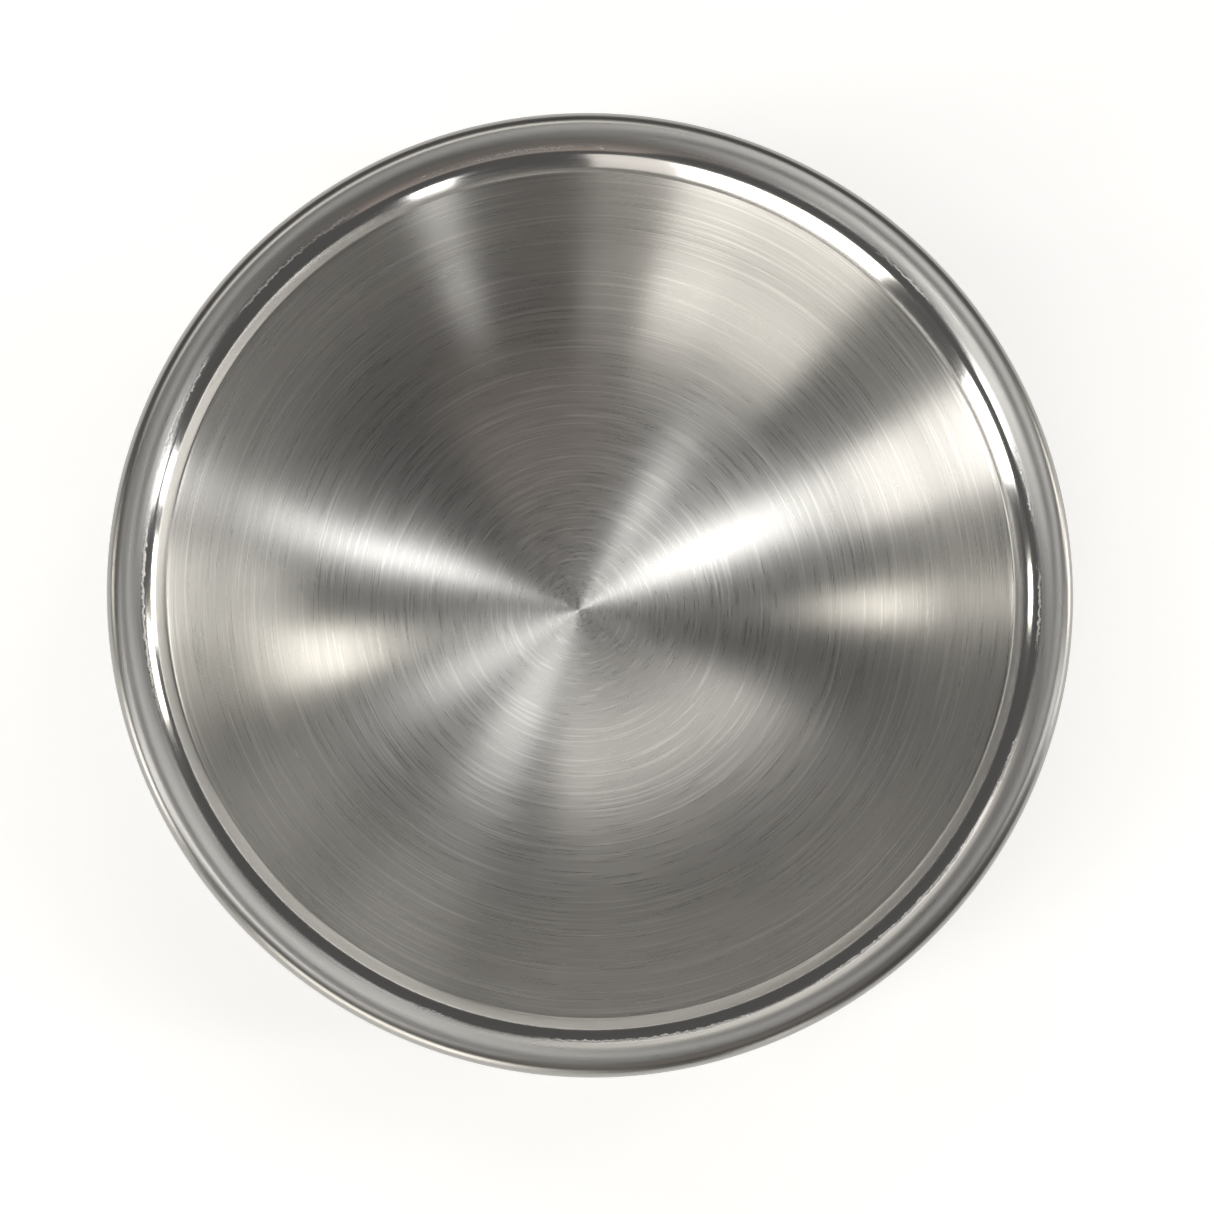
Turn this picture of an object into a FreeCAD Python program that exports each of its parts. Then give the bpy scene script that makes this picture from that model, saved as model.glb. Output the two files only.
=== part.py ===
"""Double-walled stainless steel shaving bowl, a parametric FreeCAD document.

A pressed inner bowl hangs in a drawn outer shell by its rolled lip. The lip's hem is slipped over the
shell's mouth and seam-welded to it. A dished plate closes the shell's foot from below, so that a jacket
of still air keeps the lather warm. A soft ring under the foot stops the bowl sliding on a wet shelf.

Frame: millimetres, +Z up, origin on the surface that the bowl stands on, on the bowl's axis.
"""

import FreeCAD, Part

import math
import os

import Sketcher

# Driving dimensions: (name, value, what it is). Lengths are in millimetres, angles in degrees.
SIZES = (
    ("rim_diameter", 115.0, "over the widest point of the lip"),
    ("overall_height", 42.0, "from the surface it stands on to the top of the lip"),
    ("bowl_depth", 31.5, "from the top of the lip down to the middle of the bowl"),
    ("wall_straight", 10.6, "straight part of the inner wall, between the dish and the lip"),
    ("lip_roll", 5.2, "radius of the lip's wide inner shoulder"),
    ("lip_curl", 1.8, "radius of the lip's tight outer edge"),
    ("hem_drop", 1.6, "straight hem below the curl"),
    ("liner_gauge", 0.6, "sheet thickness of the inner bowl"),
    ("shell_gauge", 0.6, "sheet thickness of the outer shell"),
    ("plate_gauge", 0.8, "sheet thickness of the base plate"),
    ("seam_gap", 0.05, "radial room between two sheets that nest"),
    ("mouth_room", 0.4, "height left between the shell's mouth and the curl's centre"),
    ("belt_height", 6.0, "straight band at the top of the outer shell"),
    ("foot_share", 0.61, "outer edge of the land that the shell stands on, as a share of the rim"),
    ("base_corner", 5.0, "outside radius between the side and the land"),
    ("land_width", 5.0, "flat land round the foot"),
    ("fold_radius", 1.0, "outside radius where the land folds up into the recess"),
    ("upstand_height", 4.0, "recess wall, from the land to its free edge"),
    ("plate_recess", 3.6, "from the land up to the plate's outer band"),
    ("plate_skirt", 1.2, "straight turned-down edge of the plate"),
    ("plate_corner", 1.4, "outside radius of the plate's turned edge"),
    ("band_width", 9.0, "plate's outer band, from its turned edge in to the raised middle"),
    ("step_rise", 1.0, "how far the plate's middle stands above its outer band"),
    ("step_slope", 45.0, "ramp of that step"),
    ("step_bend", 1.2, "radius on the convex side of the step's two bends"),
    ("vent_bore", 3.0, "hole that lets air out while the seams are welded"),
    ("plug_gap", 0.02, "radial room between plug and vent"),
    ("plug_head", 7.0, "diameter of the plug's head"),
    ("plug_dome", 0.9, "height of the plug's head"),
    ("plug_stem", 1.6, "length of the plug's stem above the plate's underside"),
    ("weld_throat", 0.6, "height of each seam weld"),
    ("pad_width", 3.8, "width of the non-slip ring"),
    ("pad_height", 1.2, "thickness of the non-slip ring"),
    ("pad_edge", 0.4, "rounding of the ring's lower edges"),
)
size = {name: value for name, value, _ in SIZES}

RIGHT = math.pi / 2
START, END, CENTRE = 1, 2, 3  # the points of a sketch line or arc
WHOLE_TURN = 360.0

doc = FreeCAD.newDocument("shaving_bowl")
sheet = doc.addObject("Spreadsheet::Sheet", "sizes")
for row, (name, value, meaning) in enumerate(SIZES, start=1):
    sheet.set(f"A{row}", meaning)
    sheet.set(f"B{row}", str(value))
    sheet.setAlias(f"B{row}", name)
doc.recompute()


class Profile:
    """A sketch in the XZ plane of its own body: sketch x is the radius and sketch y is the height."""

    def __init__(self, label):
        self.body = doc.addObject("PartDesign::Body", label)
        self.body.Label = label
        self.sketch = self.body.newObject("Sketcher::SketchObject", label + "_profile")
        plane = next(f for f in self.body.Origin.OriginFeatures if f.Role == "XZ_Plane")
        self.sketch.AttachmentSupport = (plane, [""])
        self.sketch.MapMode = "FlatFace"

    def line(self, start, end):
        return self.sketch.addGeometry(Part.LineSegment(FreeCAD.Vector(*start, 0), FreeCAD.Vector(*end, 0)))

    def arc(self, centre, radius, first, last):
        """Anticlockwise arc from angle first to angle last, in radians."""
        circle = Part.Circle(FreeCAD.Vector(*centre, 0), FreeCAD.Vector(0, 0, 1), radius)
        return self.sketch.addGeometry(Part.ArcOfCircle(circle, first, last))

    def tie(self, kind, *items):
        return self.sketch.addConstraint(Sketcher.Constraint(kind, *items))

    def bind(self, name, formula, kind, *items):
        """A dimension that follows the sizes sheet."""
        index = self.tie(kind, *items)
        self.sketch.renameConstraint(index, name)
        self.sketch.setExpression("Constraints." + name, formula)

    def radius_at(self, name, formula, item, point, value):
        self.bind(name, formula, "DistanceX", -1, 1, item, point, value)

    def height_at(self, name, formula, item, point, value):
        self.bind(name, formula, "DistanceY", -1, 1, item, point, value)

    def polygon(self, points):
        """Closed outline of straight lines; returns its lines."""
        lines = [self.line(p, q) for p, q in zip(points, points[1:] + points[:1])]
        for first, second in zip(lines, lines[1:] + lines[:1]):
            self.tie("Coincident", first, END, second, START)
        return lines

    def spin(self):
        """Turns the profile about the bowl's axis and returns the body."""
        turned = self.body.newObject("PartDesign::Revolution", self.body.Label + "_turned")
        turned.Profile = self.sketch
        turned.ReferenceAxis = (self.sketch, ["V_Axis"])
        turned.Angle = WHOLE_TURN
        self.sketch.Visibility = False
        doc.recompute()
        return self.body


class SheetProfile(Profile):
    """The section of a pressed sheet: a face of straights and bends, and a back one gauge behind it.

    The face starts at a point with a heading and runs through moves, which are ("straight", length) or
    ("bend", radius, angle, formula): a positive angle turns left, and the formula is the radius's, or
    None where the neighbours already settle it. The metal lies to the right of the face.
    """

    def __init__(self, label, start, heading, moves, gauge_name):
        super().__init__(label)
        self.gauge = size[gauge_name]
        self.gauge_formula = "sizes." + gauge_name
        self.face, self.back = [], []
        here = start
        for place, (kind, *numbers) in enumerate(moves):
            if kind == "straight":
                here = self._straight(here, heading, numbers[0])
            else:
                shares_centre = moves[place + 1][0] == "bend" or not numbers[-1]
                here, heading = self._bend(here, heading, *numbers, shares_centre)
        for chain in (self.face, self.back):
            for (one, _, end), (two, begin, _) in zip(chain, chain[1:]):
                self.tie("Tangent", one, end, two, begin)
        self.caps = [self._cap(0, 1), self._cap(-1, 2)]

    def _beside(self, point, heading, distance):
        """The point that far to the left of the heading, or to the right if negative."""
        return (point[0] - distance * math.sin(heading), point[1] + distance * math.cos(heading))

    def _straight(self, here, heading, length):
        there = (here[0] + length * math.cos(heading), here[1] + length * math.sin(heading))
        face = self.line(here, there)
        back = self.line(*[self._beside(point, heading, -self.gauge) for point in (here, there)])
        self.face.append((face, START, END))
        self.back.append((back, START, END))
        if math.isclose(math.sin(heading), 0, abs_tol=1e-9):
            self.tie("Horizontal", face)
            self.tie("Horizontal", back)
        elif math.isclose(math.cos(heading), 0, abs_tol=1e-9):
            self.tie("Vertical", face)
            self.tie("Vertical", back)
        else:
            self.tie("Parallel", face, back)
        name = f"gauge_{len(self.face)}"
        self.bind(name, self.gauge_formula, "Distance", back, START, face, self.gauge)
        return there

    def _bend(self, here, heading, radius, angle, formula, shares_centre):
        """A bend of face and back, which share a centre or else each have a radius of their own."""
        side = 1 if angle > 0 else -1
        centre = self._beside(here, heading, side * radius)
        behind = radius + side * self.gauge
        first = heading - side * RIGHT
        last = first + angle
        points = (START, END) if side > 0 else (END, START)
        face, back = [self.arc(centre, r, min(first, last), max(first, last)) for r in (radius, behind)]
        self.face.append((face, *points))
        self.back.append((back, *points))
        number = len(self.face)
        if formula:
            self.bind(f"bend_{number}", formula, "Radius", face, radius)
        if shares_centre:
            self.tie("Coincident", face, CENTRE, back, CENTRE)
        else:
            sign = "+" if side > 0 else "-"
            back_formula = f"{formula} {sign} {self.gauge_formula}"
            self.bind(f"back_bend_{number}", back_formula, "Radius", back, behind)
        there = (centre[0] + radius * math.cos(last), centre[1] + radius * math.sin(last))
        return there, heading + angle

    def _cap(self, place, which):
        face, back = self.face[place], self.back[place]
        points = [self.sketch.getPoint(item[0], item[which]) for item in (face, back)]
        cap = self.line(*[(p.x, p.y) for p in points])
        self.tie("Coincident", cap, START, face[0], face[which])
        self.tie("Coincident", cap, END, back[0], back[which])
        return cap

    def outline(self):
        """The face's lines and arcs, in order."""
        return [item[0] for item in self.face]


# Sizes that several pieces share, each worked out once from the driving dimensions.
lip_radius = size["rim_diameter"] / 2
hem_height = size["overall_height"] - size["lip_curl"] - size["hem_drop"]
shell_radius = lip_radius - size["liner_gauge"] - size["seam_gap"]
land_height = size["pad_height"]
foot_radius = size["foot_share"] * size["rim_diameter"] / 2
recess_radius = foot_radius - size["land_width"] - size["fold_radius"]
plate_underside = land_height + size["plate_recess"]
plate_edge_height = plate_underside + size["plate_gauge"] - size["plate_corner"] - size["plate_skirt"]
plate_edge_radius = recess_radius - size["seam_gap"]

# The same sizes as formulas of the sheet, for the sketches.
LIP_RADIUS = "sizes.rim_diameter / 2"
HEM_HEIGHT = "sizes.overall_height - sizes.lip_curl - sizes.hem_drop"
SHELL_RADIUS = "sizes.rim_diameter / 2 - sizes.liner_gauge - sizes.seam_gap"
LAND_HEIGHT = "sizes.pad_height"
FOOT_RADIUS = "sizes.foot_share * sizes.rim_diameter / 2"
RECESS_RADIUS = FOOT_RADIUS + " - sizes.land_width - sizes.fold_radius"
PLATE_UNDERSIDE = "sizes.pad_height + sizes.plate_recess"
PLATE_EDGE_HEIGHT = PLATE_UNDERSIDE + " + sizes.plate_gauge - sizes.plate_corner - sizes.plate_skirt"
PLATE_EDGE_RADIUS = RECESS_RADIUS + " - sizes.seam_gap"


def inner_bowl():
    """Pressed bowl: one round dish, a short straight wall, and a lip that rolls out and down into a hem."""
    depth, roll, curl, straight = [size[n] for n in ("bowl_depth", "lip_roll", "lip_curl", "wall_straight")]
    floor_height = size["overall_height"] - depth
    crest_radius = lip_radius - curl
    # The wall is the tangent that crosses between the dish's circle and the lip's.
    reach = (crest_radius**2 + depth**2 - straight**2) / (2 * depth)
    dish = reach - roll
    slope = math.atan2(depth - reach, crest_radius) + math.atan2(reach, straight)
    moves = (
        ("bend", dish, slope, None),
        ("straight", straight),
        ("bend", roll, -slope, "sizes.lip_roll"),
        ("bend", curl, -RIGHT, "sizes.lip_curl"),
        ("straight", size["hem_drop"]),
    )
    p = SheetProfile("inner_bowl", (0, floor_height), 0, moves, "liner_gauge")
    bowl, wall, shoulder, edge, hem = p.outline()
    p.tie("Horizontal", p.caps[1])
    p.tie("Vertical", p.caps[0])
    p.tie("PointOnObject", bowl, START, -2)
    p.tie("PointOnObject", bowl, CENTRE, -2)
    p.tie("Vertical", shoulder, CENTRE, edge, CENTRE)
    p.bind("wall", "sizes.wall_straight", "Distance", wall, START, wall, END, straight)
    p.height_at("floor", "sizes.overall_height - sizes.bowl_depth", bowl, START, floor_height)
    p.height_at("top", "sizes.overall_height - sizes.lip_curl", edge, CENTRE, size["overall_height"] - curl)
    p.radius_at("rim", LIP_RADIUS, hem, END, lip_radius)
    p.height_at("hem", HEM_HEIGHT, hem, END, hem_height)
    return p.spin()


def outer_shell():
    """Drawn shell: straight belt, round side, flat land to stand on, folded up into a round recess."""
    mouth = size["overall_height"] - size["lip_curl"] - size["mouth_room"]
    belt_end = mouth - size["belt_height"]
    corner, fold = size["base_corner"], size["fold_radius"]
    inward = shell_radius - foot_radius
    drop = belt_end - land_height - corner
    side = (inward**2 + drop**2 - corner**2) / (2 * (inward - corner))
    swept = math.atan2(drop, side - inward)
    moves = (
        ("straight", size["belt_height"]),
        ("bend", side, -swept, None),
        ("bend", corner, swept - RIGHT, "sizes.base_corner"),
        ("straight", size["land_width"]),
        ("bend", fold, -RIGHT, "sizes.fold_radius"),
        ("straight", size["upstand_height"] - fold),
    )
    p = SheetProfile("outer_shell", (shell_radius, mouth), -RIGHT, moves, "shell_gauge")
    belt, _, _, land, _, upstand = p.outline()
    for cap in p.caps:
        p.tie("Horizontal", cap)
    p.radius_at("body", SHELL_RADIUS, belt, START, shell_radius)
    p.height_at(
        "mouth", "sizes.overall_height - sizes.lip_curl - sizes.mouth_room", belt, START, mouth
    )
    p.bind("belt", "sizes.belt_height", "DistanceY", belt, END, belt, START, size["belt_height"])
    p.radius_at("foot", FOOT_RADIUS, land, START, foot_radius)
    p.height_at("land", LAND_HEIGHT, land, START, land_height)
    p.radius_at("recess", RECESS_RADIUS, upstand, START, recess_radius)
    p.height_at(
        "free_edge", "sizes.pad_height + sizes.upstand_height", upstand, END,
        land_height + size["upstand_height"],
    )
    return p.spin()


def base_plate():
    """Pressed plate that closes the foot: raised middle with a vent hole, and a turned-down edge."""
    slope = math.radians(size["step_slope"])
    gauge, bend, corner = size["plate_gauge"], size["step_bend"], size["plate_corner"]
    middle_top = plate_underside + gauge + size["step_rise"]
    vent = size["vent_bore"] / 2
    middle_radius = plate_edge_radius - size["band_width"]
    inside = bend + gauge
    step_drop = size["step_rise"] - (bend + inside) * (1 - math.cos(slope))
    ramp = step_drop / math.sin(slope)
    step_run = (bend + inside) * math.sin(slope) + ramp * math.cos(slope)
    moves = (
        ("straight", middle_radius - vent),
        ("bend", inside, -slope, "(sizes.step_bend + sizes.plate_gauge)"),
        ("straight", ramp),
        ("bend", bend, slope, "sizes.step_bend"),
        ("straight", size["band_width"] - step_run - corner),
        ("bend", corner, -RIGHT, "sizes.plate_corner"),
        ("straight", size["plate_skirt"]),
    )
    p = SheetProfile("base_plate", (vent, middle_top), 0, moves, "plate_gauge")
    middle, _, slant, _, band, _, skirt = p.outline()
    p.tie("Vertical", p.caps[0])
    p.tie("Horizontal", p.caps[1])
    p.bind("step_slope", "sizes.step_slope", "Angle", slant, START, middle, START, slope)
    p.radius_at("vent", "sizes.vent_bore / 2", middle, START, vent)
    p.radius_at("step", PLATE_EDGE_RADIUS + " - sizes.band_width", middle, END, middle_radius)
    p.height_at(
        "band", PLATE_UNDERSIDE + " + sizes.plate_gauge", band, END, plate_underside + gauge
    )
    p.bind("rise", "sizes.step_rise", "DistanceY", band, END, middle, END, size["step_rise"])
    p.radius_at("edge", PLATE_EDGE_RADIUS, skirt, END, plate_edge_radius)
    p.height_at("skirt", PLATE_EDGE_HEIGHT, skirt, END, plate_edge_height)
    return p.spin()


def seam_weld(label, wall_radius, wall_formula, toe_radius, toe_formula, top, top_formula):
    """A ring of weld metal in the corner between an upright sheet and the edge that nests against it."""
    throat = size["weld_throat"]
    p = Profile(label)
    leg, face, root = p.polygon([(wall_radius, top), (toe_radius, top), (wall_radius, top - throat)])
    p.tie("Horizontal", leg)
    p.tie("Vertical", root)
    p.radius_at("wall", wall_formula, leg, START, wall_radius)
    p.radius_at("toe", toe_formula, face, START, toe_radius)
    p.height_at("top", top_formula, leg, START, top)
    p.bind("throat", "sizes.weld_throat", "DistanceY", root, START, root, END, throat)
    return p.spin()


def rim_weld():
    """Runs round the shell just under the lip's hem."""
    return seam_weld(
        "rim_weld", shell_radius, SHELL_RADIUS, lip_radius, LIP_RADIUS, hem_height, HEM_HEIGHT
    )


def base_weld():
    """Runs round the recess just under the plate's turned edge."""
    toe = plate_edge_radius - size["plate_gauge"]
    formula = PLATE_EDGE_RADIUS + " - sizes.plate_gauge"
    return seam_weld(
        "base_weld", recess_radius, RECESS_RADIUS, toe, formula, plate_edge_height, PLATE_EDGE_HEIGHT
    )


def vent_plug():
    """Brazed plug: a stem through the plate's vent and a low domed head on its underside."""
    underside = plate_underside + size["step_rise"]
    stem = size["vent_bore"] / 2 - size["plug_gap"]
    head, dome = size["plug_head"] / 2, size["plug_dome"]
    bulge = (head**2 + dome**2) / (2 * dome)
    reach = math.asin(head / bulge)
    base = -RIGHT
    top = underside + size["plug_stem"]
    p = Profile("vent_plug")
    axis = p.line((0, top), (0, underside - dome))
    dish = p.arc((0, underside - dome + bulge), bulge, base, base + reach)
    seat = p.line((head, underside), (stem, underside))
    shank = p.line((stem, underside), (stem, top))
    end = p.line((stem, top), (0, top))
    p.tie("Coincident", axis, END, dish, START)
    p.tie("Coincident", dish, END, seat, START)
    for first, second in ((seat, shank), (shank, end), (end, axis)):
        p.tie("Coincident", first, END, second, START)
    p.tie("PointOnObject", axis, START, -2)
    p.tie("PointOnObject", dish, CENTRE, -2)
    p.tie("Vertical", axis)
    p.tie("Horizontal", seat)
    p.tie("Vertical", shank)
    p.tie("Horizontal", end)
    p.radius_at("head", "sizes.plug_head / 2", seat, START, head)
    p.radius_at("stem", "sizes.vent_bore / 2 - sizes.plug_gap", shank, START, stem)
    p.height_at("seat", PLATE_UNDERSIDE + " + sizes.step_rise", seat, START, underside)
    p.bind("dome", "sizes.plug_dome", "DistanceY", axis, END, seat, START, dome)
    p.bind("reach", "sizes.plug_stem", "DistanceY", shank, START, shank, END, size["plug_stem"])
    return p.spin()


def foot_ring():
    """Soft non-slip ring bonded under the middle of the land, with rounded lower edges."""
    width, height = size["pad_width"], size["pad_height"]
    inside = foot_radius - (size["land_width"] + width) / 2
    p = Profile("foot_ring")
    corners = [(inside, 0), (inside + width, 0), (inside + width, height), (inside, height)]
    bottom, outer, top, inner = p.polygon(corners)
    for level in (bottom, top):
        p.tie("Horizontal", level)
    for upright in (outer, inner):
        p.tie("Vertical", upright)
    p.tie("PointOnObject", bottom, START, -1)
    p.radius_at(
        "inside", FOOT_RADIUS + " - (sizes.land_width + sizes.pad_width) / 2", bottom, START, inside
    )
    p.bind("width", "sizes.pad_width", "DistanceX", bottom, START, bottom, END, width)
    p.bind("height", "sizes.pad_height", "DistanceY", outer, START, outer, END, height)
    body = p.spin()
    square = body.Tip
    rims = [
        f"Edge{number}"
        for number, edge in enumerate(square.Shape.Edges, start=1)
        if isinstance(edge.Curve, Part.Circle) and edge.BoundBox.ZMax < height / 2
    ]
    rounding = body.newObject("PartDesign::Fillet", "foot_ring_edges")
    rounding.Base = (square, rims)
    rounding.setExpression("Radius", "sizes.pad_edge")
    doc.recompute()
    return body


PIECES = (inner_bowl, outer_shell, base_plate, rim_weld, base_weld, vent_plug, foot_ring)
bodies = [make() for make in PIECES]
doc.recompute()

faults = [o.Name for o in doc.Objects if "Invalid" in o.State or "Error" in o.State]
loose = [o.Name for o in doc.Objects if o.isDerivedFrom("Sketcher::SketchObject") and o.solve() != 0]
bad = [b.Label for b in bodies if b.Shape.isNull() or not b.Shape.isValid() or b.Shape.Volume <= 0]
if faults or loose or bad:
    raise SystemExit(f"failed objects {faults}, unsolved sketches {loose}, bad shapes {bad}")

os.makedirs("parts", exist_ok=True)
for body in bodies:
    body.Shape.exportStep(os.path.join("parts", body.Label + ".step"))
    box = body.Shape.BoundBox
    print(
        f"{body.Label}: {body.Shape.Volume:.1f} mm3, {len(body.Shape.Solids)} solid, "
        f"radius {box.XMax:.2f}, height {box.ZMin:.2f} to {box.ZMax:.2f}"
    )
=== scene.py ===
"""A double-walled stainless steel shaving bowl on a pale table under soft studio light.

Metres, +Z up, the origin where the bowl's axis meets the table.
"""

import math

import bmesh
import bpy
from mathutils import Matrix, Vector


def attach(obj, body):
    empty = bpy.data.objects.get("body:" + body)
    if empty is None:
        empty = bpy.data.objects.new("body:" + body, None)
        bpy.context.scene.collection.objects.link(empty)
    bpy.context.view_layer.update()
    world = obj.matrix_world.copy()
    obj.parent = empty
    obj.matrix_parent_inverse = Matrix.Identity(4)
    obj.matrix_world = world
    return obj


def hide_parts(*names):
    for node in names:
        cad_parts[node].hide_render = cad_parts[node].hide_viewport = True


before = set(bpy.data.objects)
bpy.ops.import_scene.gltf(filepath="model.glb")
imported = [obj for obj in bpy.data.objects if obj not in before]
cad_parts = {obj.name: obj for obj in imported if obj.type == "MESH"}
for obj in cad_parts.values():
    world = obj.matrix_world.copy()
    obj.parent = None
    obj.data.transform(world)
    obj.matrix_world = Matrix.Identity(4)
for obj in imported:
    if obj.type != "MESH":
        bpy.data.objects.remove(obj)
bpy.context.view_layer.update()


# The inner bowl is one pressing of 0.6 mm stainless sheet: a round dish, a short straight wall and a
# wide lip that rolls out and down into a hem. It is spun against an abrasive belt, which leaves fine
# rings, and then the lip is buffed on a mop until the rings are gone from it.

MM = 0.001
RIGHT = math.pi / 2
AROUND = 384  # steps round the axis, about 0.9 mm apart at the lip
ARC_STEP = 0.8  # longest step along a bend, in millimetres
TURN_STEP = math.radians(4)  # widest step round a bend
SHARP = math.radians(38)  # a corner sharper than this stays a crisp edge
ON_AXIS = 1e-6  # a radius under this is the axis itself

RIM_RADIUS = 57.5
OVERALL_HEIGHT = 42.0
BOWL_DEPTH = 31.5
WALL_STRAIGHT = 10.6
LIP_ROLL = 5.2
LIP_CURL = 1.8
HEM_DROP = 1.6
LINER_GAUGE = 0.6
STOP_RADIUS = 50.6  # where the abrasive stops, just under the lip
STOP_LINE_WIDTH = 0.7  # of the fine groove that it leaves there
STOP_LINE_DEPTH = 0.04
BUFFING_START = STOP_RADIUS + 0.05
CURL_LINE_RADIUS = 56.7  # of the faint line that the hemming roller leaves on the curl
CURL_LINE_WIDTH = 0.3
CURL_LINE_DEPTH = 0.004
GROOVE_STEPS = 8
GROOVE_ROOM = 0.02  # kept clear of the face's own samples on each side of a groove

BRUSHED = "#BCBAB6"
RING_SPACING = 0.32  # of the finest brushed rings; drawn coarser than a real 180-grit belt's 0.1 mm
RING_ARCS = 24  # arcs that a ring breaks into on its way round
RING_TONES = (0.86, 1.06)  # from the darkest ring to the lightest, of the steel's own colour
BAND_SPACING = 2.6  # of the broad bands where the belt pressed a little more or less
BAND_ARCS = 5
BAND_DEPTH = 5  # depths of a fine ring
STROKE_SPACING = 0.4  # of strokes that run their own way; drawn coarser than a real 0.1 mm
STROKE_ARCS = 26
GLINT_ARCS = 11
GLINT_GAIN = 0.2  # painted highlight: how much lighter the few glinting strokes are coloured
SHINE_SWING = 0.03  # of the roughness, from ring to ring
BRUSHED_STRETCH = 0.87  # how much further light spreads across the rings than along them
ACROSS = 0.25  # of a turn, from along the rings to across them

POLISHED = "#E2E0DC"
HAND_SPACING = 9.0  # of the slow wave that the hand leaves
MOP_SPACING = 0.35  # of the mop's lines; drawn coarser than a real 0.05 mm
MOP_ARCS = 30
MOP_DEPTH = 0.0008
MOP_SWING = 0.02  # of the roughness, from line to line
PAINTED_CROWN_GREY = "#A3A19D"  # painted reflection: the crown of the lip coloured darker, so that it reads as an even grey
CROWN_HAZE = 0.18  # roughness that the crown has over the rest of the lip
NICK_RADIUS = 53.2  # of the ring of nicks where the lip turns down into the bowl
NICK_REACH = 0.12  # half the width of the ring of nicks
NICK_SPACING = 0.8  # of the ring's ragged edge
NICK_WANDER = 0.8  # how far the ring strays from round
NICK_STRETCH = 16.0  # between one nicked stretch of the lip and the next
NICK_HAZE = 0.2  # roughness that a nick adds
PIT_SPACING = 0.25  # of the pits inside a nick
PIT_DEPTH = 0.08
CROWN_START = NICK_RADIUS - 0.3
CROWN_FULL = NICK_RADIUS + 0.4

NOISE_RANGE = (0.25, 0.75)  # where nearly all of a noise's values lie
NOISE_MIDDLE = (0.3, 0.7)  # where most of them lie
GLINT_RANGE = (0.58, 0.66)  # where only its peaks lie
NICK_RANGE = (0.48, 0.6)  # where a nicked stretch begins and is full


def colour(code):
    """Linear colour of an sRGB hex value."""
    levels = [int(code[i : i + 2], 16) / 255 for i in (1, 3, 5)]
    return [c / 12.92 if c <= 0.04045 else ((c + 0.055) / 1.055) ** 2.4 for c in levels] + [1.0]


def course(start, heading, moves):
    """Samples (radius, height, heading) along a sheet's face, through straights and bends.

    A move is a length with no turn, or the radius of a bend and the angle it turns, left if positive.
    """
    r, z = start
    samples = [(r, z, heading)]
    for length, turn in moves:
        if not turn:
            steps = max(2, round(length / ARC_STEP))
            for i in range(1, steps + 1):
                there = length * i / steps
                samples.append((r + there * math.cos(heading), z + there * math.sin(heading), heading))
        else:
            steps = max(4, round(abs(turn) * length / ARC_STEP), round(abs(turn) / TURN_STEP))
            bend = math.copysign(length, turn)
            centre = (r - bend * math.sin(heading), z + bend * math.cos(heading))
            for i in range(1, steps + 1):
                now = heading + turn * i / steps
                samples.append((centre[0] + bend * math.sin(now), centre[1] - bend * math.cos(now), now))
            heading += turn
        r, z = samples[-1][:2]
    return samples


def grooved(samples, at, width, depth):
    """The samples with a round-bottomed groove turned into the face where its radius first reaches at."""
    number = next(i for i, (r, _, _) in enumerate(samples) if r >= at)
    (r0, z0, a0), (r1, z1, a1) = samples[number - 1 : number + 1]
    share = (at - r0) / (r1 - r0)
    middle, heading = (at, z0 + (z1 - z0) * share), a0 + (a1 - a0) * share
    turning = (a1 - a0) / math.hypot(r1 - r0, z1 - z0)
    cut = []
    for step in range(GROOVE_STEPS + 1):
        along = width * (step / GROOVE_STEPS - 0.5)
        bend = heading + turning * along
        mean = heading + turning * along / 2
        sunk = depth * (1 + math.cos(2 * math.pi * along / width)) / 2
        r = middle[0] + along * math.cos(mean) + sunk * math.sin(bend)
        z = middle[1] + along * math.sin(mean) - sunk * math.cos(bend)
        cut.append((r, z, bend))
    clear = width / 2 + GROOVE_ROOM
    before = [p for p in samples[:number] if math.dist(p[:2], middle) > clear]
    after = [p for p in samples[number:] if math.dist(p[:2], middle) > clear]
    return before + cut + after


def sheet_outline(samples, gauge):
    """Closed outline of a sheet: its face, then its back, one gauge to the right of the face."""
    face = [(r, z) for r, z, _ in samples]
    back = [(r + gauge * math.sin(a), z - gauge * math.cos(a)) for r, z, a in samples]
    return face + back[::-1]


def turned(name, outline, materials, which=lambda number: 0, shape=lambda point, angle: point):
    """A mesh turned about the Z axis from a closed outline in millimetres (radius, height).

    which gives the material of each side of the outline, and shape may move a point at an angle.
    """
    mesh = bmesh.new()
    rings = []
    for point in outline:
        if point[0] < ON_AXIS:
            rings.append([mesh.verts.new((0, 0, point[1] * MM))] * AROUND)
            continue
        ring = []
        for step in range(AROUND):
            angle = step * 2 * math.pi / AROUND
            r, z = shape(point, angle)
            ring.append(mesh.verts.new((r * MM * math.cos(angle), r * MM * math.sin(angle), z * MM)))
        rings.append(ring)
    for number, (ring, following) in enumerate(zip(rings, rings[1:] + rings[:1])):
        if outline[number][0] < ON_AXIS and outline[(number + 1) % len(outline)][0] < ON_AXIS:
            continue
        for step in range(AROUND):
            after = (step + 1) % AROUND
            corners = [ring[step], ring[after], following[after], following[step]]
            corners = list(dict.fromkeys(corners))
            mesh.faces.new(corners).material_index = which(number)
    bmesh.ops.recalc_face_normals(mesh, faces=mesh.faces[:])
    data = bpy.data.meshes.new(name)
    mesh.to_mesh(data)
    mesh.free()
    data.shade_smooth()
    data.set_sharp_from_angle(angle=SHARP)
    for material in materials:
        data.materials.append(material)
    piece = bpy.data.objects.new(name, data)
    bpy.context.collection.objects.link(piece)
    return piece


def new_material(name):
    """An empty material: its tree, its shader and the material itself."""
    material = bpy.data.materials.new(name)
    material.use_nodes = True
    tree = material.node_tree
    return material, tree, tree.nodes["Principled BSDF"]


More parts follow.
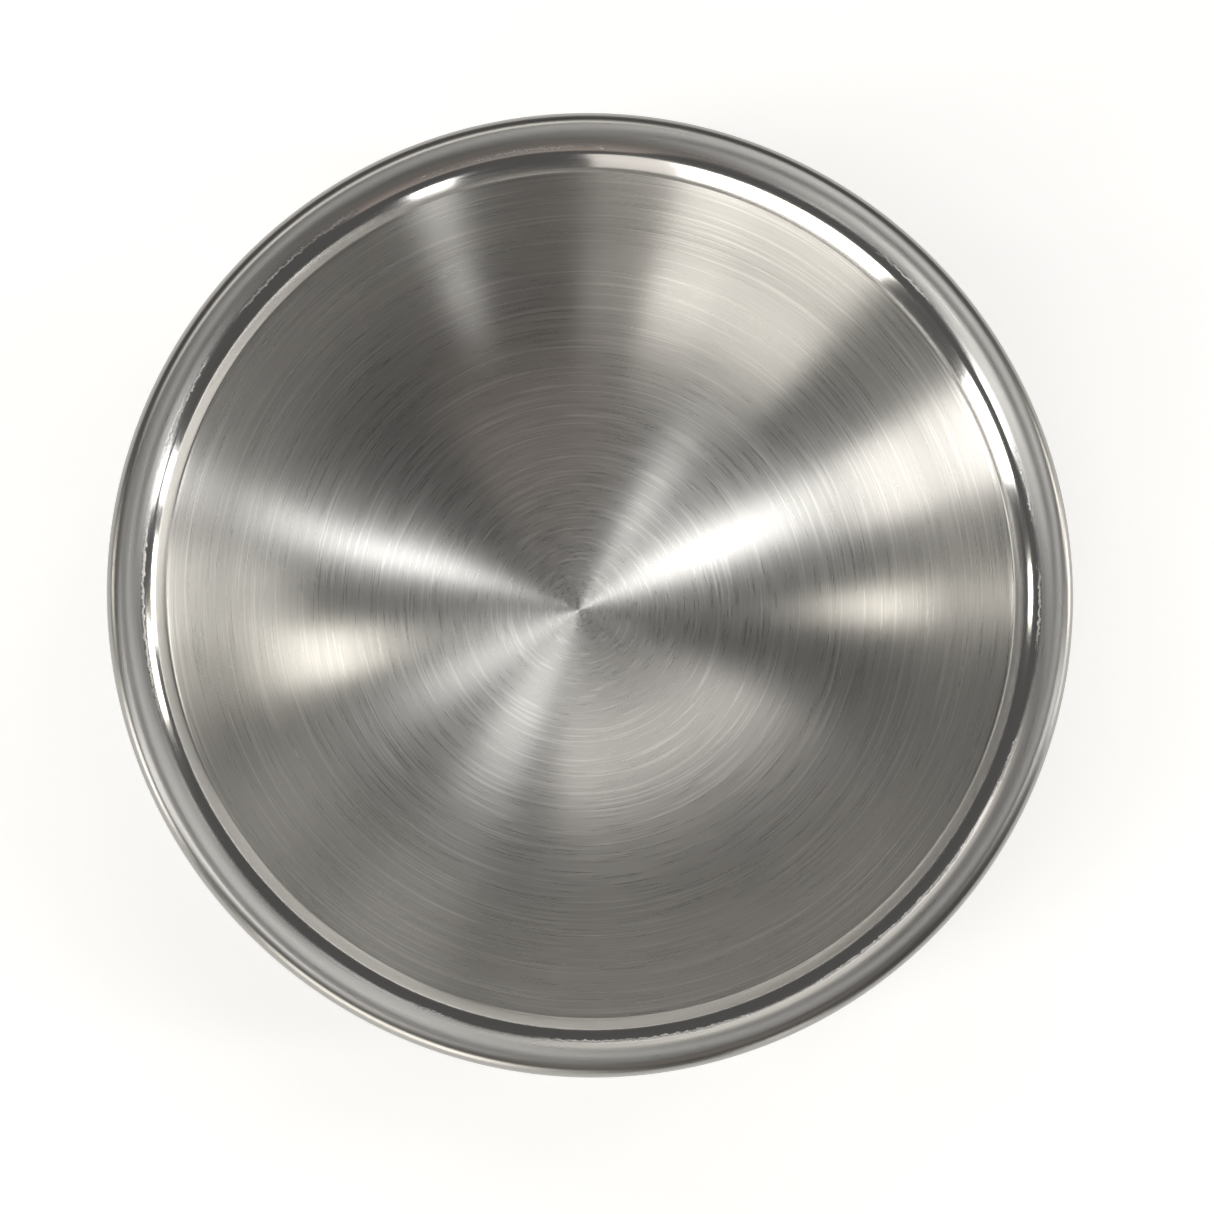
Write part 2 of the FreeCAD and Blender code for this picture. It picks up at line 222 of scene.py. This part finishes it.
def add(tree, kind, inputs=(), **settings):
    """A node with its settings. Each input is a value or the socket that feeds it."""
    made = tree.nodes.new("ShaderNode" + kind)
    for key, value in settings.items():
        setattr(made, key, value)
    for key, value in dict(inputs).items():
        if isinstance(value, bpy.types.NodeSocket):
            tree.links.new(value, made.inputs[key])
        else:
            made.inputs[key].default_value = value
    return made


def around_axis(tree):
    """The place, the unit vector out from the axis, the radius, and the run up the dish, in metres."""
    place = add(tree, "TexCoord").outputs["Object"]
    flat = add(tree, "VectorMath", {0: place, 1: (1, 1, 0)}, operation="MULTIPLY").outputs[0]
    out = add(tree, "VectorMath", {0: flat}, operation="NORMALIZE").outputs[0]
    radius = add(tree, "VectorMath", {0: flat}, operation="LENGTH").outputs["Value"]
    height = add(tree, "SeparateXYZ", {0: place}).outputs["Z"]
    run = add(tree, "Math", {0: radius, 1: height}, operation="ADD").outputs[0]
    return place, out, radius, run


def rings(tree, out, run, spacing, arcs, detail=2.0, seed=0.0):
    """Noise drawn out into arcs round the axis: rings spacing millimetres apart, each in that many arcs."""
    spread = add(tree, "VectorMath", {0: out, "Scale": arcs / (2 * math.pi)}, operation="SCALE").outputs[0]
    up = add(tree, "Math", {0: run, 1: 1 / (spacing * MM), 2: seed}, operation="MULTIPLY_ADD").outputs[0]
    lift = add(tree, "CombineXYZ", {"Z": up}).outputs[0]
    where = add(tree, "VectorMath", {0: spread, 1: lift}, operation="ADD").outputs[0]
    settings = {"Vector": where, "Scale": 1.0, "Detail": detail, "Roughness": 0.6}
    return add(tree, "TexNoise", settings).outputs[0]


def brushed_steel(name, roughness, cut, wander):
    """Stainless steel brushed in rings. It shows as bright fans that swing about the axis, because each
    ring scatters light across itself and hardly at all along itself. The fans' edges break up into fine
    bright arcs, because no two strokes of the belt run quite the same way, and a few strokes are coloured
    lighter as painted glints.

    cut is the depth of the rings in millimetres, wander how far a stroke strays from round, in radians.
    """
    material, tree, shader = new_material(name)
    _, out, _, run = around_axis(tree)
    fine = rings(tree, out, run, RING_SPACING, RING_ARCS, detail=1.5)
    band = rings(tree, out, run, BAND_SPACING, BAND_ARCS, seed=31)
    stroke = rings(tree, out, run, STROKE_SPACING, STROKE_ARCS, seed=77)
    glint_strokes = rings(tree, out, run, STROKE_SPACING, GLINT_ARCS, detail=1.0, seed=53)

    relief = {"Height": fine, "Strength": 1.0, "Distance": cut * MM}
    grain = add(tree, "Bump", relief).outputs[0]
    relief = {"Height": band, "Strength": 1.0, "Distance": BAND_DEPTH * cut * MM, "Normal": grain}
    press = add(tree, "Bump", relief).outputs[0]

    # A range's inputs are the value, the ends that it comes from, and the ends that it goes to.
    low, high = NOISE_RANGE
    smooth, coarse = roughness - SHINE_SWING, roughness + SHINE_SWING
    shine = add(tree, "MapRange", {0: fine, 1: low, 2: high, 3: smooth, 4: coarse}).outputs[0]
    dark, light = RING_TONES
    even = add(tree, "MapRange", {0: fine, 1: low, 2: high, 3: dark, 4: light}).outputs[0]
    # Painted highlight: the peaks of a sparse stroke noise colour a few strokes lighter, as painted glints.
    low, high = GLINT_RANGE
    glint = add(tree, "MapRange", {0: glint_strokes, 1: low, 2: high, 3: 0, 4: GLINT_GAIN}).outputs[0]
    tone = add(tree, "Math", {0: even, 1: glint}, operation="ADD").outputs[0]
    steel = add(tree, "VectorMath", {0: colour(BRUSHED)[:3], "Scale": tone}, operation="SCALE").outputs[0]

    low, high = NOISE_MIDDLE
    swing = add(tree, "MapRange", {0: stroke, 1: low, 2: high, 3: -wander, 4: wander}).outputs[0]
    sideways = add(tree, "VectorMath", {0: out, "Scale": swing}, operation="SCALE").outputs[0]
    round_axis = add(tree, "VectorMath", {0: (0, 0, 1), 1: out}, operation="CROSS_PRODUCT").outputs[0]
    along = add(tree, "VectorMath", {0: round_axis, 1: sideways}, operation="ADD").outputs[0]
    tangent = add(tree, "VectorTransform", {0: along}, convert_from="OBJECT", convert_to="WORLD").outputs[0]

    tree.links.new(steel, shader.inputs["Base Color"])
    tree.links.new(shine, shader.inputs["Roughness"])
    tree.links.new(press, shader.inputs["Normal"])
    tree.links.new(tangent, shader.inputs["Tangent"])
    shader.inputs["Metallic"].default_value = 1.0
    shader.inputs["Anisotropic"].default_value = BRUSHED_STRETCH
    shader.inputs["Anisotropic Rotation"].default_value = ACROSS
    return material


def polished_steel(name, tint, roughness, wave, nicks=0.0):
    """Stainless steel buffed on a mop. It mirrors its surroundings, and the hand's uneven pressure shows
    as a slow wave in what it mirrors, with faint lines from the mop running round the piece. Where the
    lip turns down into the bowl, knocks have left a ragged ring of nicks, and outside that ring the crown
    of the lip is rougher and coloured darker, a painted reflection that reads as an even grey.

    wave is the height of the hand's wave in millimetres, and nicks how strongly the nicks show, if at all.
    """
    material, tree, shader = new_material(name)
    place, out, radius, run = around_axis(tree)
    sweep = {"Vector": place, "Scale": 1 / (HAND_SPACING * MM), "Detail": 1.0}
    slow = add(tree, "TexNoise", sweep).outputs[0]
    mop = rings(tree, out, run, MOP_SPACING, MOP_ARCS)
    hand = add(tree, "Bump", {"Height": slow, "Strength": 1.0, "Distance": wave * MM}).outputs[0]
    relief = {"Height": mop, "Strength": 1.0, "Distance": MOP_DEPTH * MM, "Normal": hand}
    normal = add(tree, "Bump", relief).outputs[0]
    low, high = NOISE_MIDDLE
    smooth, coarse = roughness - MOP_SWING, roughness + MOP_SWING
    shine = add(tree, "MapRange", {0: mop, 1: low, 2: high, 3: smooth, 4: coarse}).outputs[0]
    if nicks:
        grit = {"Vector": place, "Scale": 1 / (NICK_SPACING * MM), "Detail": 3.0, "Roughness": 0.7}
        ragged = add(tree, "TexNoise", grit).outputs[0]
        line = {0: ragged, 1: NICK_WANDER * MM, 2: radius}
        shifted = add(tree, "Math", line, operation="MULTIPLY_ADD").outputs[0]
        near = {0: shifted, 1: (NICK_RADIUS + NICK_WANDER / 2) * MM, 2: NICK_REACH * MM}
        struck = add(tree, "Math", near, operation="COMPARE").outputs[0]
        spell = {"Vector": place, "Scale": 1 / (NICK_STRETCH * MM), "Detail": 1.0}
        stretch = add(tree, "TexNoise", spell).outputs[0]
        low, high = NICK_RANGE
        stretches = add(tree, "MapRange", {0: stretch, 1: low, 2: high, 3: 0, 4: nicks}).outputs[0]
        ring = add(tree, "Math", {0: struck, 1: stretches}, operation="MULTIPLY").outputs[0]
        pitted = {"Vector": place, "Scale": 1 / (PIT_SPACING * MM), "Detail": 2.0, "Roughness": 0.6}
        pits = add(tree, "TexNoise", pitted).outputs[0]
        depth = add(tree, "Math", {0: pits, 1: ring}, operation="MULTIPLY").outputs[0]
        relief = {"Height": depth, "Strength": 1.0, "Distance": PIT_DEPTH * MM, "Normal": normal}
        normal = add(tree, "Bump", relief).outputs[0]

        # Outside the nicks the crown is rougher, and darker in colour: a painted reflection of an even grey.
        edge = {0: radius, 1: CROWN_START * MM, 2: CROWN_FULL * MM, 3: 0, 4: 1}
        crown_haze_and_grey_paint = add(tree, "MapRange", edge).outputs[0]
        shine = add(tree, "Math", {0: ring, 1: NICK_HAZE, 2: shine}, operation="MULTIPLY_ADD").outputs[0]
        shine = add(tree, "Math", {0: crown_haze_and_grey_paint, 1: CROWN_HAZE, 2: shine}, operation="MULTIPLY_ADD").outputs[0]
        bright, painted_reflection_grey = Vector(colour(tint)[:3]), Vector(colour(PAINTED_CROWN_GREY)[:3])
        change = add(tree, "VectorMath", {0: painted_reflection_grey - bright, "Scale": crown_haze_and_grey_paint}, operation="SCALE").outputs[0]
        steel = add(tree, "VectorMath", {0: bright, 1: change}, operation="ADD").outputs[0]
        tree.links.new(steel, shader.inputs["Base Color"])
    tree.links.new(shine, shader.inputs["Roughness"])
    tree.links.new(normal, shader.inputs["Normal"])
    shader.inputs["Base Color"].default_value = colour(tint)
    shader.inputs["Metallic"].default_value = 1.0
    return material


crest_radius = RIM_RADIUS - LIP_CURL
both_radii = (crest_radius**2 + BOWL_DEPTH**2 - WALL_STRAIGHT**2) / (2 * BOWL_DEPTH)
dish = both_radii - LIP_ROLL
slope = math.atan2(BOWL_DEPTH - both_radii, crest_radius) + math.atan2(both_radii, WALL_STRAIGHT)
floor_height = OVERALL_HEIGHT - BOWL_DEPTH
liner_face = course(
    (0, floor_height),
    0,
    ((dish, slope), (WALL_STRAIGHT, 0), (LIP_ROLL, -slope), (LIP_CURL, -RIGHT), (HEM_DROP, 0)),
)
liner_face = grooved(liner_face, STOP_RADIUS, STOP_LINE_WIDTH, STOP_LINE_DEPTH)
liner_face = grooved(liner_face, CURL_LINE_RADIUS, CURL_LINE_WIDTH, CURL_LINE_DEPTH)
brushed_sides = sum(r < BUFFING_START for r, _, _ in liner_face)
liner_outline = sheet_outline(liner_face, LINER_GAUGE)


def liner_side(number):
    """Brushed up to the lip, polished from there over the hem."""
    return 0 if number < brushed_sides or number >= len(liner_face) else 1


brushed_liner = brushed_steel("stainless steel brushed in rings", roughness=0.29, cut=0.005, wander=0.036)
polished_lip = polished_steel(
    "stainless steel buffed by hand", POLISHED, roughness=0.11, wave=0.006, nicks=0.8
)
inner_bowl = turned("inner_bowl_look", liner_outline, [brushed_liner, polished_lip], liner_side)
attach(inner_bowl, "root")
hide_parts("inner_bowl")


# The outer shell is drawn from 0.6 mm stainless sheet. Its straight belt slips up inside the lip's hem,
# its side rounds in to a flat land, and the sheet folds up there into a short recess wall. All that
# shows of it is buffed on a mop, and beside a plain table it mirrors an even grey.

SHELL_GAUGE = 0.6
SEAM_GAP = 0.05
MOUTH_ROOM = 0.4
BELT_HEIGHT = 6.0
FOOT_RADIUS = 0.61 * RIM_RADIUS
BASE_CORNER = 5.0
LAND_WIDTH = 5.0
LAND_HEIGHT = 1.2
FOLD_RADIUS = 1.0
UPSTAND_HEIGHT = 4.0
SHELL_STEEL = "#B7B4AF"  # darker than the lip, so that the side reads against the pale table

shell_radius = RIM_RADIUS - LINER_GAUGE - SEAM_GAP
mouth_height = OVERALL_HEIGHT - LIP_CURL - MOUTH_ROOM
inward = shell_radius - FOOT_RADIUS
drop = mouth_height - BELT_HEIGHT - LAND_HEIGHT - BASE_CORNER
side_radius = (inward**2 + drop**2 - BASE_CORNER**2) / (2 * (inward - BASE_CORNER))
swept = math.atan2(drop, side_radius - inward)
shell_face = course(
    (shell_radius, mouth_height),
    -RIGHT,
    (
        (BELT_HEIGHT, 0),
        (side_radius, -swept),
        (BASE_CORNER, swept - RIGHT),
        (LAND_WIDTH, 0),
        (FOLD_RADIUS, -RIGHT),
        (UPSTAND_HEIGHT - FOLD_RADIUS, 0),
    ),
)
polished_shell = polished_steel("stainless steel buffed to a mirror", SHELL_STEEL, roughness=0.14, wave=0.02)
outer_shell = turned("outer_shell_look", sheet_outline(shell_face, SHELL_GAUGE), [polished_shell])
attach(outer_shell, "root")
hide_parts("outer_shell")


# The base plate is pressed from 0.8 mm stainless sheet: a raised middle with a vent hole, a sloping step,
# a flat band, and an edge turned down against the recess wall. It is left as it came off the lathe, satin.

PLATE_GAUGE = 0.8
PLATE_RECESS = 3.6
PLATE_SKIRT = 1.2
PLATE_CORNER = 1.4
BAND_WIDTH = 9.0
STEP_RISE = 1.0
STEP_SLOPE = math.radians(45)
STEP_BEND = 1.2
VENT_RADIUS = 1.5

recess_radius = FOOT_RADIUS - LAND_WIDTH - FOLD_RADIUS
plate_radius = recess_radius - SEAM_GAP
plate_underside = LAND_HEIGHT + PLATE_RECESS
crest_bend = STEP_BEND + PLATE_GAUGE
ramp = (STEP_RISE - (STEP_BEND + crest_bend) * (1 - math.cos(STEP_SLOPE))) / math.sin(STEP_SLOPE)
step_run = (STEP_BEND + crest_bend) * math.sin(STEP_SLOPE) + ramp * math.cos(STEP_SLOPE)
plate_face = course(
    (VENT_RADIUS, plate_underside + PLATE_GAUGE + STEP_RISE),
    0,
    (
        (plate_radius - BAND_WIDTH - VENT_RADIUS, 0),
        (crest_bend, -STEP_SLOPE),
        (ramp, 0),
        (STEP_BEND, STEP_SLOPE),
        (BAND_WIDTH - step_run - PLATE_CORNER, 0),
        (PLATE_CORNER, -RIGHT),
        (PLATE_SKIRT, 0),
    ),
)
satin_plate = brushed_steel("stainless steel turned satin", roughness=0.4, cut=0.004, wander=0.03)
base_plate = turned("base_plate_look", sheet_outline(plate_face, PLATE_GAUGE), [satin_plate])
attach(base_plate, "root")
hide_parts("base_plate")


# Two seam welds close the air jacket: one round the shell under the lip's hem, one round the base plate's
# turned edge. Each is a bead of fused sheet, laid on a turntable in fine even scales and then wire brushed.

WELD_THROAT = 0.6
SCALES_ROUND = 96  # scales of the rim seam, about 3.7 mm apart; drawn coarser than a real 0.5 mm
SCALE_HEIGHT = 0.05
WELD_HOLLOW = 0.42  # of the way out along each leg; a flat face would be at a half
WELD_GRAIN = 0.8  # of the brush marks; drawn coarser than a real 0.2 mm
WELD_RELIEF = 0.03
WELD_STEEL = "#B9B2A8"


def bead(name, wall, toe, top):
    """A weld in the corner between an upright wall and the edge above it, its face slightly hollow."""
    middle = (wall + (toe - wall) * WELD_HOLLOW, top - WELD_THROAT * WELD_HOLLOW)
    outline = [(wall, top), (toe, top), middle, (wall, top - WELD_THROAT)]

    def scaled(point, angle):
        if point != middle:
            return point
        rise = SCALE_HEIGHT / 2 * math.sin(SCALES_ROUND * angle)
        return (point[0] + math.copysign(rise, toe - wall), point[1] - rise)

    return turned(name, outline, [weld_metal], shape=scaled)


# Fused steel, wire brushed: straw tinted by the heat, with a soft grainy glint on each scale.
weld_metal, weld_tree, weld_shader = new_material("stainless steel weld, wire brushed")
weld_place = add(weld_tree, "TexCoord").outputs["Object"]
weld_grain = {"Vector": weld_place, "Scale": 1 / (WELD_GRAIN * MM), "Detail": 3.0}
weld_noise = add(weld_tree, "TexNoise", weld_grain).outputs[0]
weld_relief = {"Height": weld_noise, "Strength": 0.6, "Distance": WELD_RELIEF * MM}
weld_bump = add(weld_tree, "Bump", weld_relief).outputs[0]
weld_tree.links.new(weld_bump, weld_shader.inputs["Normal"])
weld_shader.inputs["Base Color"].default_value = colour(WELD_STEEL)
weld_shader.inputs["Metallic"].default_value = 1.0
weld_shader.inputs["Roughness"].default_value = 0.34

hem_height = OVERALL_HEIGHT - LIP_CURL - HEM_DROP
plate_edge_height = plate_underside + PLATE_GAUGE - PLATE_CORNER - PLATE_SKIRT
rim_weld = bead("rim_weld_look", shell_radius, RIM_RADIUS, hem_height)
base_weld = bead("base_weld_look", recess_radius, plate_radius - PLATE_GAUGE, plate_edge_height)
for weld, node in ((rim_weld, "rim_weld"), (base_weld, "base_weld")):
    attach(weld, "root")
    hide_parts(node)


# The vent plug is a small stainless pin with a low domed head, pressed up into the base plate's vent once
# the jacket has been welded, and brazed. Left satin, its dome shows one soft round highlight.

PLUG_STEM_RADIUS = 1.48
PLUG_HEAD_RADIUS = 3.5
PLUG_DOME = 0.9
PLUG_STEM = 1.6
PLUG_STEEL = "#BDB8B0"

plug_seat = plate_underside + STEP_RISE
plug_bulge = (PLUG_HEAD_RADIUS**2 + PLUG_DOME**2) / (2 * PLUG_DOME)
plug_dome = course((0, plug_seat - PLUG_DOME), 0, ((plug_bulge, math.asin(PLUG_HEAD_RADIUS / plug_bulge)),))
plug_outline = [(r, z) for r, z, _ in plug_dome] + [
    (PLUG_STEM_RADIUS, plug_seat),
    (PLUG_STEM_RADIUS, plug_seat + PLUG_STEM),
    (0, plug_seat + PLUG_STEM),
]
satin_pin, _, pin_shader = new_material("stainless steel pin, satin")
pin_shader.inputs["Base Color"].default_value = colour(PLUG_STEEL)
pin_shader.inputs["Metallic"].default_value = 1.0
pin_shader.inputs["Roughness"].default_value = 0.28
vent_plug = turned("vent_plug_look", plug_outline, [satin_pin])
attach(vent_plug, "root")
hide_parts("vent_plug")


# The foot ring is moulded black silicone, bonded to the shell's land so that the bowl doesn't slide on a
# wet shelf. Its lower edges are rounded, and the spark-eroded mould leaves it matt, with no clear highlight.

PAD_WIDTH = 3.8
PAD_HEIGHT = 1.2
PAD_EDGE = 0.4
SKIN_GRAIN = 0.3  # of the mould's spark-eroded texture; drawn coarser than a real 0.05 mm
SKIN_RELIEF = 0.02
SILICONE = "#2B2B2C"

pad_inside = FOOT_RADIUS - (LAND_WIDTH + PAD_WIDTH) / 2
pad_lower = course((pad_inside + PAD_EDGE, 0), 0, ((PAD_WIDTH - 2 * PAD_EDGE, 0), (PAD_EDGE, RIGHT)))
pad_inner = course((pad_inside, PAD_EDGE), -RIGHT, ((PAD_EDGE, RIGHT),))
pad_outline = [(r, z) for r, z, _ in pad_lower]
pad_outline += [(pad_inside + PAD_WIDTH, PAD_HEIGHT), (pad_inside, PAD_HEIGHT)]
pad_outline += [(r, z) for r, z, _ in pad_inner[:-1]]
silicone, silicone_tree, silicone_shader = new_material("black silicone, moulded matt")
silicone_place = add(silicone_tree, "TexCoord").outputs["Object"]
silicone_grain = {"Vector": silicone_place, "Scale": 1 / (SKIN_GRAIN * MM), "Detail": 2.0}
silicone_skin = add(silicone_tree, "TexNoise", silicone_grain).outputs[0]
silicone_relief = {"Height": silicone_skin, "Strength": 0.5, "Distance": SKIN_RELIEF * MM}
silicone_bump = add(silicone_tree, "Bump", silicone_relief).outputs[0]
silicone_tree.links.new(silicone_bump, silicone_shader.inputs["Normal"])
silicone_shader.inputs["Base Color"].default_value = colour(SILICONE)
silicone_shader.inputs["Roughness"].default_value = 0.62
silicone_shader.inputs["IOR"].default_value = 1.41
foot_ring = turned("foot_ring_look", pad_outline, [silicone])
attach(foot_ring, "root")
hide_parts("foot_ring")


# The table is a light table: a plain sheet of pale matt acrylic, lit softly from beneath, well wider than
# anything the bowl mirrors. It shows as an even near-white with only a faint shadow round the bowl.

TABLE_WIDTH = 6.0
TABLE_GLOW = 0.4  # the light that comes up through the sheet
TABLE_COLOUR = "#F6F6F4"
TABLE_LIGHT = "#FFFFFF"

acrylic, _, acrylic_shader = new_material("pale matt acrylic")
acrylic_shader.inputs["Base Color"].default_value = colour(TABLE_COLOUR)
acrylic_shader.inputs["Roughness"].default_value = 0.7
acrylic_shader.inputs["Specular IOR Level"].default_value = 0.2
acrylic_shader.inputs["Emission Color"].default_value = colour(TABLE_LIGHT)
acrylic_shader.inputs["Emission Strength"].default_value = TABLE_GLOW
half = TABLE_WIDTH / 2
table_corners = [(-half, -half, 0), (half, -half, 0), (half, half, 0), (-half, half, 0)]
table_mesh = bpy.data.meshes.new("table")
table_mesh.from_pydata(table_corners, [], [(0, 1, 2, 3)])
table_mesh.materials.append(acrylic)
table = bpy.data.objects.new("table", table_mesh)
bpy.context.collection.objects.link(table)


# Soft boxes stand round the table, as windows and lamps do round a room. Each is a flat panel that faces
# the bowl. In degrees: its bearing from +X, its height above the table, and how wide and how tall it looks
# from the bowl. Then its level beside the others, and its colour.

PANEL_DISTANCE = 1.1
BOWL_MIDDLE = Vector((0, 0, 0.025))
PANELS = (
    ("left_tall", 200, 61, 19, 44, 70, "#FFFFFF"),
    ("left_low", 199, 12, 16, 18, 95, "#FFFDFA"),
    ("left_small", 174, 21, 7, 12, 115, "#FFFBF3"),
    ("front_low", 244, 14, 35, 22, 54, "#FFFCF6"),
    ("front_high", 240, 68, 16, 30, 34, "#FFFFFF"),
    ("front_edge", 262, 14, 26, 24, 14, "#FFFAF5"),
    ("warm_wall", 290, 52, 56, 30, 4.5, "#F3E0D6"),
    ("corner_slot", 298, 7, 6, 18, 60, "#FFFFFF"),
    ("right_tall", 353, 45, 6, 36, 98, "#FDFEFF"),
    ("right_slot", 352, 10, 6, 22, 68, "#FFFFFF"),
    ("right_window", 16, 23, 10, 16, 100, "#FFFCF4"),
    ("right_low", 6, 6, 12, 16, 95, "#FFFDF8"),
    ("back_right_strip", 33, 62, 16, 40, 32, "#FFFFFF"),
    ("back_right_high", 60, 60, 20, 38, 31, "#FFFFFF"),
    ("back_high", 112, 53, 76, 14, 40, "#FFFCF9"),
)
PANEL_LEVEL = 0.06


def panel(name, bearing, height, wide, tall, level, tint):
    """A soft box at that bearing and height, sized by the angles it fills, turned to face the bowl."""
    lamp = bpy.data.lights.new(name, "AREA")
    lamp.shape = "RECTANGLE"
    lamp.size = 2 * PANEL_DISTANCE * math.tan(math.radians(wide) * math.cos(math.radians(height)) / 2)
    lamp.size_y = 2 * PANEL_DISTANCE * math.tan(math.radians(tall) / 2)
    lamp.energy = level * PANEL_LEVEL * math.pi * lamp.size * lamp.size_y
    lamp.color = colour(tint)[:3]
    away = Vector((1, 0, 0))
    away.rotate(Matrix.Rotation(-math.radians(height), 3, "Y"))
    away.rotate(Matrix.Rotation(math.radians(bearing), 3, "Z"))
    box = bpy.data.objects.new(name, lamp)
    facing = away.to_track_quat("Z", "Y").to_matrix().to_4x4()
    box.matrix_world = Matrix.Translation(BOWL_MIDDLE + away * PANEL_DISTANCE) @ facing
    box.visible_camera = False
    bpy.context.collection.objects.link(box)
    return box


for details in PANELS:
    panel(*details)

ROOM = "#FFFFFF"
ROOM_LEVEL = 0.09
world = bpy.data.worlds.new("room")
world.use_nodes = True
world.node_tree.nodes["Background"].inputs["Color"].default_value = colour(ROOM)
world.node_tree.nodes["Background"].inputs["Strength"].default_value = ROOM_LEVEL
bpy.context.scene.world = world


# The camera looks down into the bowl from a hand's reach above it, a few degrees off its axis.

CAMERA_DISTANCE = 0.35
CAMERA_TILT = math.radians(6.5)
CAMERA_SIDE = Vector((-0.6, -0.8, 0))
VIEW_WIDTH = 143.5 * MM  # what the frame spans at the height of the lip
VIEW_MIDDLE = Vector((1.25, -2.3, 0)) * MM
SENSOR = 36.0

lip_middle = Vector((0, 0, OVERALL_HEIGHT * MM))
up = Vector((0, 0, 1))
station = lip_middle + (CAMERA_SIDE * math.sin(CAMERA_TILT) + up * math.cos(CAMERA_TILT)) * CAMERA_DISTANCE
back = (station - lip_middle - VIEW_MIDDLE).normalized()
across = Vector((0, 1, 0)).cross(back).normalized()
lens = bpy.data.cameras.new("camera")
lens.sensor_width = SENSOR
lens.lens = SENSOR * CAMERA_DISTANCE / VIEW_WIDTH
lens.clip_start = 0.01
camera = bpy.data.objects.new("camera", lens)
turn = Matrix((across, back.cross(across), back)).transposed().to_4x4()
camera.matrix_world = Matrix.Translation(station) @ turn
bpy.context.collection.objects.link(camera)
bpy.context.scene.camera = camera
bpy.context.scene.view_settings.view_transform = "Standard"
